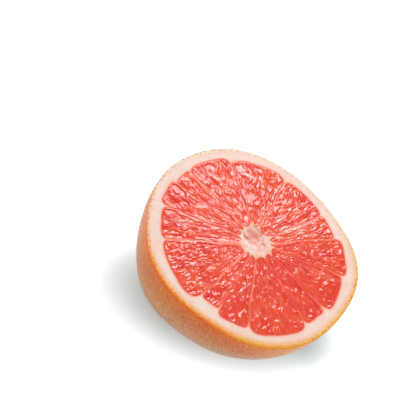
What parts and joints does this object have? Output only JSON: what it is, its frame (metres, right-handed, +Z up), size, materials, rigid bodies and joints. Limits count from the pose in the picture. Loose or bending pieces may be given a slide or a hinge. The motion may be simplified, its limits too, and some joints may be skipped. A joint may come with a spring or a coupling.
{
  "type": "half grapefruit",
  "caption": "Half a red-fleshed grapefruit, cut across the middle and lying on its round end with the segmented cut face up.",
  "frame": {"origin": "middle of the small flat spot under the half, on the surface that it lies on", "axes": "+Z up, square to the cut face; the middle of the cut face is shifted towards +X and +Y"},
  "size_m": [0.1049, 0.102, 0.0516],
  "materials": {
    "flesh": "wet, glossy red juice sacs",
    "pith": "soft, matt, pinkish white pith, membranes and core",
    "zest": "waxy orange peel with fine oil-gland dimples"
  },
  "bodies": {
    "root": {"grapefruit_half": "flesh"}
  },
  "joints": []
}
